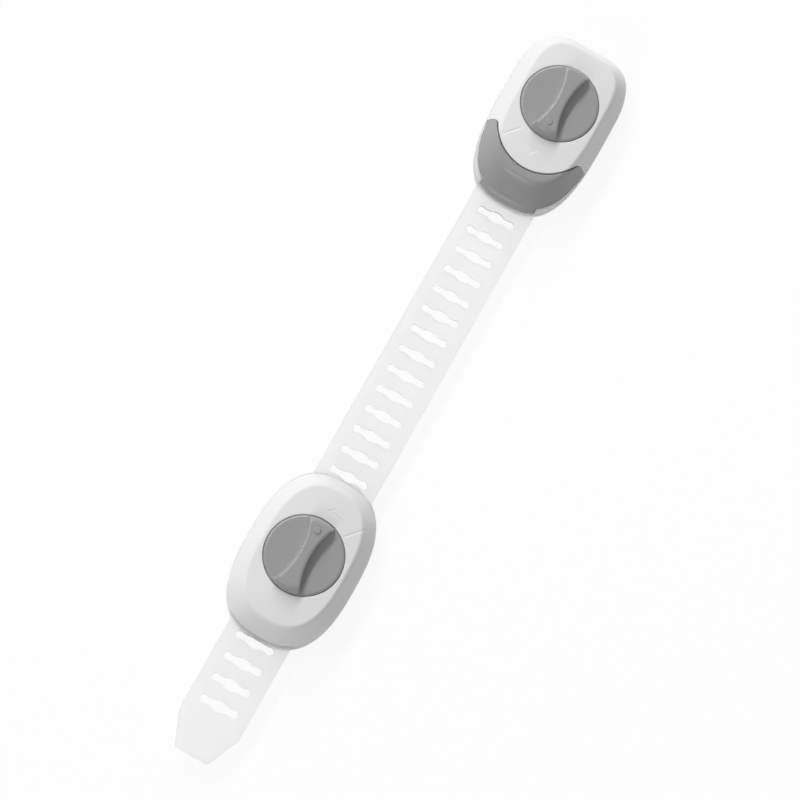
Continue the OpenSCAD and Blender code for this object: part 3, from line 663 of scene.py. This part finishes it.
def head_lip():
    """Low lip of the crescent over the strap, in one sweep with the crescent's slope."""
    half, rest, rise, edge_fillet, blend = 8.55, 5.3, 0.1, 0.45, 0.9
    spacing, corner, lift, sink, sink_over = 0.3, 0.2, 0.02, 0.5, 0.35
    front_inset, back_inset, overlap, off_edge = 0.1, 1.3, 0.1, 0.03
    rows = [0.65, 0.85, 1.05, 1.25, 1.45, 1.7, 2.0, 2.3, 2.6, 2.9]
    o = LATCH_SKIN
    line = ring(LATCH_OUTLINE, front_inset, spacing, 180, 360)
    right_side = line[len(line) // 2:]
    y = float(np.interp(half, right_side[:, 0], right_side[:, 1]))
    foot = line[np.abs(line[:, 0]) < half - corner]
    back = ring(o, back_inset, spacing, 180, 360)
    back = back[np.abs(back[:, 0]) < half - corner][::-1]
    back_y = float(back[0][1]) - overlap
    right = spaced(np.array([[half, y], [half, back_y]]), spacing)
    edge = joined(right[::-1] * MIRROR, foot, right)
    outer = joined(edge, back)

    def height(x, y):
        """The higher of the crescent's slope and a low rise from the edge, with a soft blend between them."""
        t = inset_at(o, x, y)
        d = distance(np.stack([x, y], 1), edge, False)
        slope = skin_z(t) + lift
        flat = rest + rise * d - fillet(d, edge_fillet)
        z = np.maximum(slope, flat) + np.maximum(blend - np.abs(slope - flat), 0) ** 2 / (4 * blend)
        return z - sink * np.clip((t - back_inset + sink_over) / sink_over, 0, 1)

    top = Sheet()
    edge_top = top.loop(outer, height(*outer.T))
    for d in steps(edge_fillet) + rows:
        top.dots(offset(edge, d, False), height, lambda p: inside(p, outer) & (distance(p, outer) > off_edge))
    solid = Solid()
    solid.closed_below(top, edge_top, outer, STRAP_TOP + lift)
    return solid.piece("strap_head_lip", grey_plastic, "strap_unit", "strap_head",
                       (0, LATCH_Y))


def slab(name, mat, body, node, outer, holes, low, high, r, at):
    """Flat plate with rounded edges over the plan of a closed polyline, with holes."""
    solid = Solid()
    ids = []
    for z, sign in ((high, -1), (low, 1)):
        s = Sheet()
        edge = s.loop(outer, z + sign * r)
        edges = [s.loop(h, z + sign * r) for h in holes]
        for d in steps(r)[1::2] + [r]:
            drop = float(fillet(np.array([d]), r)[0])
            level = lambda x, y: np.full(len(x), z + sign * drop)
            s.dots(offset(outer, d), level)
            for h in holes:
                # Points that come nearer to the hole's edge than their row are left out
                s.dots(offset(h, -d), level, lambda p: distance(p, h) > 0.9 * d)
        base = solid.sheet(s, outer, holes, flip=sign > 0)
        ids.append([[base + i for i in e] for e in [edge] + edges])
    solid.wall(ids[0][0], ids[1][0])
    for a, b in zip(ids[0][1:], ids[1][1:]):
        solid.wall(a[::-1], b[::-1])
    return solid.piece(name, mat, body, node, at)


def head_plug():
    """Tongue under the crescent that plugs into the latch. It is thin over the strap's end."""
    half, edge_r = 6.0, 0.15
    start, root, end = -27.5, -21.4, -2.8
    bottom, over_strap, top = 2.8, 4.85, 5.6
    side = [(start, over_strap), (root, over_strap), (root, bottom), (end, bottom), (end, top), (start, top)]
    mesh = bpy.data.meshes.new("strap_head_plug")
    verts = [(x * MM, (y + LATCH_Y) * MM, z * MM) for x in (-half, half) for y, z in side]
    n = len(side)
    faces = [tuple(range(n))[::-1], tuple(range(n, 2 * n))]
    faces += [(i, (i + 1) % n, n + (i + 1) % n, n + i) for i in range(n)]
    mesh.from_pydata(verts, [], faces)
    obj = placed(mesh, "strap_head_plug", grey_plastic, "strap_unit", "strap_head")
    bevel = obj.modifiers.new("bevel", "BEVEL")
    bevel.width = edge_r * MM
    bevel.segments = 3
    return obj


# Strap

def slot_outline():
    """One slot, anticlockwise: round ends, narrow necks and a lens-shaped middle."""
    end_r, neck, peg_x, lens_r, lens_half = 1.1, 0.9, 4.5, 4.1633, 1.5
    neck_x = peg_x - math.sqrt(end_r ** 2 - neck ** 2)
    lens_x = math.sqrt(lens_r ** 2 - (neck + lens_r - lens_half) ** 2)
    a = math.degrees(math.atan2(neck, neck_x - peg_x))
    round_end = arc(peg_x, 0, end_r, -a, a, 0.2)
    shoulder = math.degrees(math.atan2(neck + lens_r - lens_half, lens_x))
    lens = arc(0, lens_half - lens_r, lens_r, shoulder, 180 - shoulder, 0.3)
    return joined(round_end, lens, -round_end, -lens)


def strap():
    """Slotted band with a tapered free end."""
    half, pitch, count = 9.0, 6.4, 25
    first_slot, root = LATCH_Y - 34.7, LATCH_Y - 21.5
    end, taper, tail, corner_r = -112.15, 9.5, 5.0, 1.2
    edge_r, spacing = 0.14, 0.8
    lean = math.degrees(math.atan2(half - tail, taper))
    cx = tail - corner_r * math.tan(math.radians(90 - lean) / 2)
    corner = arc(cx, end + corner_r, corner_r, -90, -lean, 0.25)
    right = joined(corner, spaced(np.array([[half, end + taper], [half, root]]), spacing))
    left = right[::-1] * MIRROR
    bottom = spaced(np.array([[-cx, end], [cx, end]]), spacing)
    top = spaced(np.array([[half, root], [-half, root]]), spacing)
    outer = joined(right[:-1], top, left, bottom[1:-1])
    slot = slot_outline()
    holes = [slot + np.array([0, first_slot - i * pitch]) for i in range(count)]
    return slab("strap_band", strap_plastic, "strap_unit", "strap", outer, holes,
                STRAP_Z, STRAP_TOP, edge_r, (0, 0))


# Dials

DISC_R = 10.81
DISC_Z = 10.9
DISC_TOP = 13.6
GRIP_H = 3.0

# From the dial's axis to the middle of the round scoop on each side of the grip bar
SCOOP_X = 24.14

# Drop of the disc's bevelled edge over the distance from its rim
EDGE_IN = np.array([0, 0.03, 0.08, 0.16, 0.5, 0.6, 0.72])
EDGE_DROP = np.array([0.5, 0.34, 0.25, 0.19, 0.045, 0.012, 0])


def wall_profile():
    """Rise of the grip bar's side over its distance from the scoop's middle.

    It has a rounded root, a steep wall and a bevelled top."""
    root, foot, wall, bevel, depth = 22.24, 0.2, 0.36, 0.58, 0.21
    tilt = math.atan2(GRIP_H - depth, wall)
    pts = []
    for k in range(6):
        a = tilt * k / 5
        pts.append((root - foot * math.tan(tilt / 2) + foot * math.sin(a), foot * (1 - math.cos(a))))
    x, z = root + wall, GRIP_H - depth
    pts += [(x - 0.012, z - 0.1), (x + 0.01, z - 0.03), (x + 0.05, z + 0.02)]
    pts += [(x + bevel - 0.08, GRIP_H - 0.03), (x + bevel, GRIP_H - 0.008), (x + bevel + 0.08, GRIP_H)]
    return np.array(pts)


def dial(name, body, node, at, turn):
    """Round grip dial: disc with a waisted bar and a raised dot, and its hub and drive stub below."""
    profile = wall_profile()
    bar_reach, end_r, end_fall, end_rows, off_end = 11, 10.5, 1.9, 12, 0.002
    dot_y, dot_r, dot_h, dot_edge = -7.0, 0.95, 0.35, 0.2
    hub_r, hub_z, stub_z, stub_flat, stub_corner = 4.0, 9.3, 7.3, 1.8, 2.3
    face_in, off_dot, beyond = 0.85, 0.1, 0.12
    grid_half, grid_step, grid_shift, grid_r = 10.5, 0.9, 0.013, 10.1
    wall_middle, off_wall = 22.5, 1.2
    rim_spacing, row_spacing, dot_spacing, hub_spacing = 0.35, 0.3, 0.15, 0.4

    def from_scoop(x, y):
        return np.hypot(np.abs(x) - SCOOP_X, y)

    def from_dot(x, y):
        return np.hypot(x, y - dot_y)

    def bar(x, y):
        """Rise of the grip bar over the disc, with round ends."""
        side = np.interp(from_scoop(x, y), profile[:, 0], profile[:, 1])
        c = np.clip(1 - (end_r - np.hypot(x, y)) / end_fall, 0, 1)
        return side * np.where(np.hypot(x, y) < end_r, np.sqrt(1 - c * c), 0)

    def height(x, y):
        lift = dot_h * np.clip((dot_r - from_dot(x, y)) / dot_edge, 0, 1)
        return DISC_TOP + bar(x, y) + lift - np.interp(DISC_R - np.hypot(x, y), EDGE_IN, EDGE_DROP)

    def clear(p):
        """Which points lie on the disc's flat face, off its edge and off the dot."""
        return (np.hypot(*p.T) < DISC_R - face_in) & (from_dot(*p.T) > dot_r + off_dot)

    def on_bar(p):
        return clear(p) & (bar(*p.T) > 0.02)

    def off_rows(p):
        """Which points lie on the flat face off the rows of the bar's side."""
        off_side = np.abs(from_scoop(*p.T) - wall_middle) > off_wall
        return clear(p) & (np.hypot(*p.T) < grid_r) & off_side

    top = Sheet()
    rim = circle(DISC_R, rim_spacing)
    rim_top = top.loop(rim, DISC_TOP - EDGE_DROP[0])
    inner_r = dot_r - dot_edge
    for r in (dot_r + 0.03, dot_r - 0.03, dot_r - dot_edge / 2, inner_r, inner_r - 0.06, 0.3):
        top.dots(circle(r, dot_spacing, 0.0, dot_y), height)
    for d in list(EDGE_IN[1:]) + [0.8]:
        top.dots(circle(DISC_R - d, rim_spacing), height)
    rows = list(profile[:, 0]) + [profile[0, 0] - beyond, profile[-1, 0] + beyond]
    for side, mid in ((-1, 0), (1, 180)):
        for rho in rows:
            span = math.degrees(math.asin(bar_reach / rho))
            top.dots(arc(side * SCOOP_X, 0, rho, mid - span, mid + span, row_spacing), height, clear)
    for k in range(end_rows + 1):
        a = math.radians(90 * k / end_rows)
        row = circle(end_r - end_fall * (1 - math.cos(a)) - off_end, row_spacing)
        # The bar has no rise on the first row, so its points are tested a little further in
        top.dots(row, height, lambda p: on_bar(p) if k else on_bar(p * 0.99))
    ticks = np.arange(-grid_half, grid_half, grid_step) + grid_shift
    top.dots(np.stack(np.meshgrid(ticks, ticks), -1).reshape(-1, 2), height, off_rows)

    low = Sheet()
    rim_low = low.loop(rim, DISC_Z)
    low.loop(circle(hub_r + STEP, hub_spacing), DISC_Z)
    low.loop(circle(hub_r, hub_spacing), hub_z)
    f, k = stub_flat, math.sqrt(stub_corner ** 2 - stub_flat ** 2)
    stub = np.array([(f, -k), (f, k), (k, f), (-k, f), (-f, k), (-f, -k), (-k, -f), (k, -f)])
    low.loop(stub * (1 + STEP / 2), hub_z)
    low.loop(stub, stub_z)

    solid = Solid()
    a = solid.sheet(top, rim)
    b = solid.sheet(low, rim, flip=True)
    solid.wall([a + i for i in rim_top], [b + i for i in rim_low])
    return solid.piece(name, grey_plastic, body, node, at, turn)


# Foam pads

# Inset and height of the rows round a pad
PAD_ROWS = ((1.5, 0.0), (1.32, 0.03), (1.22, 0.12), (1.16, 0.3), (1.13, 0.55), (1.16, 0.8),
            (1.22, 0.98), (1.32, 1.07), (1.5, PAD_TOP))


def pad(name, body, node, o, at):
    """Foam pad: its sides bulge a little and its edges are soft."""
    n, last, spacing = 260, len(PAD_ROWS) - 1, 0.02
    solid = Solid()
    for inset, z in PAD_ROWS:
        a = ring(o, inset, spacing)
        q = a[np.linspace(0, len(a), n, endpoint=False).astype(int)]
        solid.verts += [(x, y, z) for x, y in q]
    for k in range(last):
        for i in range(n):
            j = (i + 1) % n
            solid.tris.append((k * n + i, k * n + j, (k + 1) * n + j, (k + 1) * n + i))
    solid.tris.append(tuple(range(n))[::-1])
    solid.tris.append(tuple(range(last * n, (last + 1) * n)))
    obj = solid.piece(name, foam, body, node, at, sharp=60)
    return obj


# Lift springs

def lift_coils():
    """Two coil springs round the guide posts, which flatten as the tooth ring drops. The mesh is drawn at one
    length only.
    """
    wire, r, post_x, low, high = 0.35, 1.325, 10.8, 2.825, 6.175
    turns, per_turn, sides = 4, 24, 10
    n = turns * per_turn
    tilt = math.atan2(high - low, 2 * math.pi * r * turns)
    solid = Solid()
    for cx in (-post_x, post_x):
        start = len(solid.verts)
        for i in range(n + 1):
            a = 2 * math.pi * turns * i / n
            for k in range(sides):
                b = 2 * math.pi * k / sides
                u, v = wire / 2 * math.cos(b), wire / 2 * math.sin(b)
                solid.verts.append((cx + (r + u) * math.cos(a) + v * math.sin(tilt) * math.sin(a),
                                    (r + u) * math.sin(a) - v * math.sin(tilt) * math.cos(a),
                                    low + (high - low) * i / n + v * math.cos(tilt)))
        for i in range(n):
            row = start + i * sides
            for k in range(sides):
                j = (k + 1) % sides
                solid.tris.append((row + k, row + sides + k, row + sides + j, row + j))
        solid.tris.append(tuple(start + k for k in range(sides)))
        solid.tris.append(tuple(start + n * sides + k for k in range(sides))[::-1])
    obj = solid.piece("adjuster_lift_coils", steel, "adjuster_housing", "lift_springs",
                      (0, ADJUSTER_Y), sharp=60)
    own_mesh(obj)
    return obj


adjuster_cover()
latch_cover()
crescent()
head_lip()
head_plug()
strap()
dial("latch_dial_grip", "latch_knob", "latch_dial", (0, LATCH_Y), 0.0)
dial("adjuster_dial_grip", "adjuster_knob", "adjuster_dial", (0, ADJUSTER_Y), math.pi)
pad("latch_foam_pad", "latch_housing", "latch_pad", LATCH_OUTLINE, (0, LATCH_Y))
pad("adjuster_foam_pad", "adjuster_housing", "adjuster_pad", ADJUSTER_OUTLINE, (0, ADJUSTER_Y))
lift_coils()


# Stage, light and camera

def seen_share(tree, share):
    """The share for rays that show the background: camera, glossy and transmission rays."""
    path = tree.nodes.new("ShaderNodeLightPath")
    value = path.outputs["Is Camera Ray"]
    for other in ("Is Glossy Ray", "Is Transmission Ray"):
        value = computed(tree, "MAXIMUM", value, path.outputs[other])
    return computed(tree, "MULTIPLY", value, share)


def stage_floor():
    """White floor that glows for the rays that show the background, so a shadow on it stays faint."""
    half = 1.5
    mesh = bpy.data.meshes.new("floor")
    corners = [(-half, -half, 0), (half, -half, 0), (half, half, 0), (-half, half, 0)]
    mesh.from_pydata(corners, [], [(0, 1, 2, 3)])
    floor = bpy.data.objects.new("floor", mesh)
    bpy.context.scene.collection.objects.link(floor)
    mat = bpy.data.materials.new("floor")
    mat.use_nodes = True
    tree = mat.node_tree
    tree.nodes.clear()
    out = tree.nodes.new("ShaderNodeOutputMaterial")
    plain = tree.nodes.new("ShaderNodeBsdfDiffuse")
    linked(tree, blended(tree, seen_share(tree, 1.0), grey(0.96), grey(0.98)), plain.inputs["Color"])
    glow = tree.nodes.new("ShaderNodeEmission")
    glow.inputs["Color"].default_value = (1, 1, 1, 1)
    glow.inputs["Strength"].default_value = 1.0
    shader = mixed(tree, seen_share(tree, 0.9), plain.outputs["BSDF"], glow.outputs["Emission"])
    linked(tree, shader, out.inputs["Surface"])
    mesh.materials.append(mat)


def sky():
    """White where the background shows. As light it is dimmer, most of all from the right in front."""
    world = bpy.data.worlds.new("world")
    bpy.context.scene.world = world
    world.use_nodes = True
    tree = world.node_tree
    tree.nodes.clear()
    out = tree.nodes.new("ShaderNodeOutputWorld")
    dim = tree.nodes.new("ShaderNodeBackground")
    bright = tree.nodes.new("ShaderNodeBackground")
    dim.inputs["Color"].default_value = (1, 1, 1, 1)
    bright.inputs["Color"].default_value = (1, 1, 1, 1)
    bright.inputs["Strength"].default_value = 1.0
    direction = tree.nodes.new("ShaderNodeTexCoord").outputs["Generated"]
    split = tree.nodes.new("ShaderNodeSeparateXYZ")
    linked(tree, direction, split.inputs["Vector"])
    by_height = ranged(tree, split.outputs["Z"], low=0.5, high=0.36, from_low=0.0, from_high=1.0)
    toward_dim = tree.nodes.new("ShaderNodeVectorMath")
    toward_dim.operation = "DOT_PRODUCT"
    toward_dim.inputs[1].default_value = (0.8, -0.6, 0)
    linked(tree, direction, toward_dim.inputs[0])
    by_side = ranged(tree, toward_dim.outputs["Value"], low=1.0, high=0.5, from_low=-0.3, from_high=0.9)
    linked(tree, computed(tree, "MULTIPLY", by_height, by_side), dim.inputs["Strength"])
    shader = mixed(tree, seen_share(tree, 1.0), dim.outputs["Background"], bright.outputs["Background"])
    linked(tree, shader, out.inputs["Surface"])


def lamps():
    """Long strip as the key light from behind on the left, and a soft fill from the front."""
    strip = bpy.data.lights.new("key", "AREA")
    strip.shape = "RECTANGLE"
    strip.size = 0.26
    strip.size_y = 4.2
    strip.energy = 88
    key = bpy.data.objects.new("key", strip)
    bpy.context.scene.collection.objects.link(key)
    away = 3.2
    back = Vector((-0.85, 0.88, 1.06)).normalized()
    along = Vector((0, 1, 0))
    side = along.cross(back).normalized()
    m = Matrix((side, back.cross(side), back)).transposed().to_4x4()
    m.translation = back * away
    key.matrix_world = m
    soft = bpy.data.lights.new("fill", "SUN")
    soft.energy = 0.65
    soft.angle = math.radians(30)
    fill = bpy.data.objects.new("fill", soft)
    bpy.context.scene.collection.objects.link(fill)
    toward = Vector((-0.1, -0.85, 0.45)).normalized()
    fill.rotation_euler = toward.to_track_quat("Z", "Y").to_euler()


def camera():
    """Camera as fitted to the photo's outlines, which looks down steeply and is turned about its axis."""
    right = Vector((0.871665, 0.481738, 0.090156))
    up = Vector((-0.48993, 0.851624, 0.186292))
    back = Vector((0.012965, -0.206554, 0.978349))
    data = bpy.data.cameras.new("camera")
    data.lens = 128.333
    data.sensor_width = 36
    data.clip_end = 10
    cam = bpy.data.objects.new("camera", data)
    bpy.context.scene.collection.objects.link(cam)
    place = Vector((11.7476, -160.806, 759.0853))
    m = Matrix((right, up, back)).transposed().to_4x4()
    m.translation = place * MM
    cam.matrix_world = m
    bpy.context.scene.camera = cam


stage_floor()
sky()
lamps()
camera()
bpy.context.scene.view_settings.view_transform = "Standard"

# Materials of the nodes that are shown as they come from the CAD. Those not named here are steel
fills = {"latch_base": clear_plastic, "latch_catch": clear_plastic, "adjuster_base": clear_plastic,
         "adjuster_cam": clear_plastic, "tooth_ring": grey_plastic}
for name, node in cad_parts.items():
    node.data.materials.clear()
    node.data.materials.append(fills.get(name, steel))
